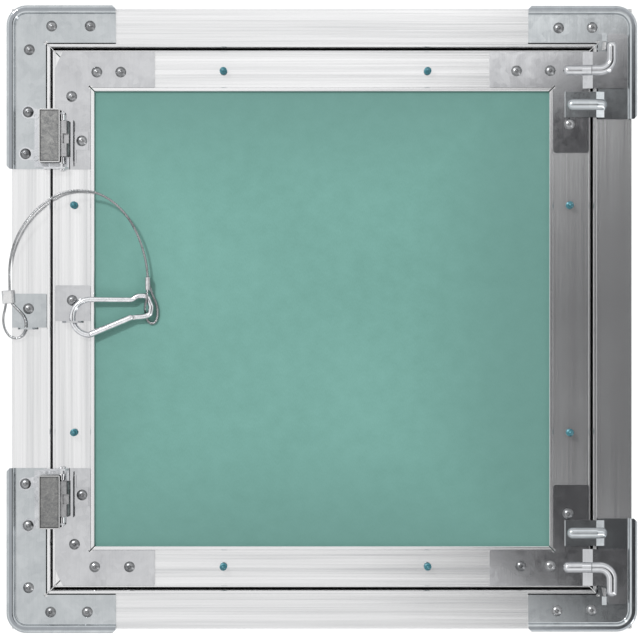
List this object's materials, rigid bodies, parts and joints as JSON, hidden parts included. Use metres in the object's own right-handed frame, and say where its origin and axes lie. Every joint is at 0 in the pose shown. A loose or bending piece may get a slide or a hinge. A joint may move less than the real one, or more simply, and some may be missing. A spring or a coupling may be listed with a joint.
{
  "type": "drywall access panel",
  "caption": "Square access panel for a plasterboard ceiling or wall, seen from behind: fixed aluminium frame, latched board leaf, hinge tabs and a safety wire with snap hook.",
  "frame": {"origin": "centre of the opening, in the bearing plane under the frame flange", "axes": "+Z into the void behind the board, away from the room; +X towards the hinge side; +Y along the hinge line"},
  "size_m": [0.4723, 0.4666, 0.0293],
  "materials": {
    "aluminium_profile": "mill-finish extruded aluminium with fine die lines",
    "zinc_frame_plate": "zinc-coated pressed steel, cool grey",
    "zinc_leaf_plate": "zinc-coated flat steel, satin",
    "rivet_steel": "bright rivet heads, darker in the dimple",
    "green_board": "green paper face of moisture-resistant plasterboard, matt",
    "blue_screw": "blue-green corrosion coat",
    "latch_cover_zinc": "mottled grey zinc, matt",
    "ferrule_aluminium": "pressed sleeve",
    "wire_rope": "fine stranded wire rope",
    "hook_zinc": "bright zinc",
    "spring_steel": "spring wire",
    "tongue_steel": "grey plated steel",
    "bright_steel": "polished pin and rollers",
    "bracket_zinc": "zinc-coated folded sheet"
  },
  "bodies": {
    "frame": {"frame_profile_top": "aluminium_profile", "frame_profile_bottom": "aluminium_profile", "frame_profile_left": "aluminium_profile", "frame_profile_right": "aluminium_profile", "frame_corner_plate_tl": "zinc_frame_plate", "frame_corner_plate_tr": "zinc_frame_plate", "frame_corner_plate_bl": "zinc_frame_plate", "frame_corner_plate_br": "zinc_frame_plate", "frame_rivets": "rivet_steel", "latch_rivets": "rivet_steel", "frame_wire_plate": "zinc_frame_plate", "latch_upper_bracket": "bracket_zinc", "latch_upper_cover": "latch_cover_zinc", "latch_upper_pin": "bright_steel", "latch_upper_rollers": "bright_steel", "latch_upper_spring": "spring_steel", "latch_lower_bracket": "bracket_zinc", "latch_lower_cover": "latch_cover_zinc", "latch_lower_pin": "bright_steel", "latch_lower_rollers": "bright_steel", "latch_lower_spring": "spring_steel", "safety_wire_frame_half": "wire_rope", "safety_wire_ferrule_frame": "ferrule_aluminium"},
    "leaf": {"leaf_profile_top": "aluminium_profile", "leaf_profile_bottom": "aluminium_profile", "leaf_profile_left": "aluminium_profile", "leaf_profile_right": "aluminium_profile", "leaf_corner_plate_tl": "zinc_leaf_plate", "leaf_corner_plate_tr": "zinc_leaf_plate", "leaf_corner_plate_bl": "zinc_leaf_plate", "leaf_corner_plate_br": "zinc_leaf_plate", "leaf_rivets": "rivet_steel", "leaf_board": "green_board", "board_screws": "blue_screw", "striker_upper": "bracket_zinc", "striker_lower": "bracket_zinc", "striker_rivets": "rivet_steel", "leaf_wire_plate": "zinc_leaf_plate", "safety_wire_leaf_half": "wire_rope"},
    "tongue_upper": {"latch_upper_tongue": "tongue_steel"},
    "tongue_lower": {"latch_lower_tongue": "tongue_steel"},
    "snap_hook": {"snap_hook_body": "hook_zinc", "snap_hook_gate_pin": "hook_zinc", "safety_wire_hook_eye": "wire_rope", "safety_wire_ferrule_hook": "ferrule_aluminium"},
    "hook_gate": {"snap_hook_gate": "hook_zinc", "snap_hook_gate_spring": "hook_zinc"}
  },
  "joints": [
    {"name": "leaf_swing", "type": "hinge", "parent": "frame", "child": "leaf", "pos_m": [0.2008, 0, -0.0125], "axis": [0, -1, 0], "range_deg": [0, 42]},
    {"name": "tongue_upper_swing", "type": "hinge", "parent": "frame", "child": "tongue_upper", "pos_m": [-0.1929, 0.1335, 0.008], "axis": [0, -1, 0], "range_deg": [0, 16], "stiffness_Nm_per_rad": 0.3, "springref_deg": -17.19, "deforming": ["latch_upper_spring"]},
    {"name": "tongue_lower_swing", "type": "hinge", "parent": "frame", "child": "tongue_lower", "pos_m": [-0.1929, -0.1335, 0.008], "axis": [0, -1, 0], "range_deg": [0, 16], "stiffness_Nm_per_rad": 0.3, "springref_deg": -17.19, "deforming": ["latch_lower_spring"]},
    {"name": "hook_swing", "type": "hinge", "parent": "leaf", "child": "snap_hook", "pos_m": [-0.18505, -0.0023, 0.007], "axis": [0, -1, 0], "range_deg": [0, 73]},
    {"name": "gate_swing", "type": "hinge", "parent": "snap_hook", "child": "hook_gate", "pos_m": [-0.14202, 0.0009, 0.00565], "axis": [-0.0314, 0, -0.9995], "range_deg": [0, 24], "stiffness_Nm_per_rad": 0.02, "springref_deg": -17.19}
  ],
  "couplings": [
    {"joint": "hook_swing", "follows": "leaf_swing", "ratio": 1.7341}
  ]
}
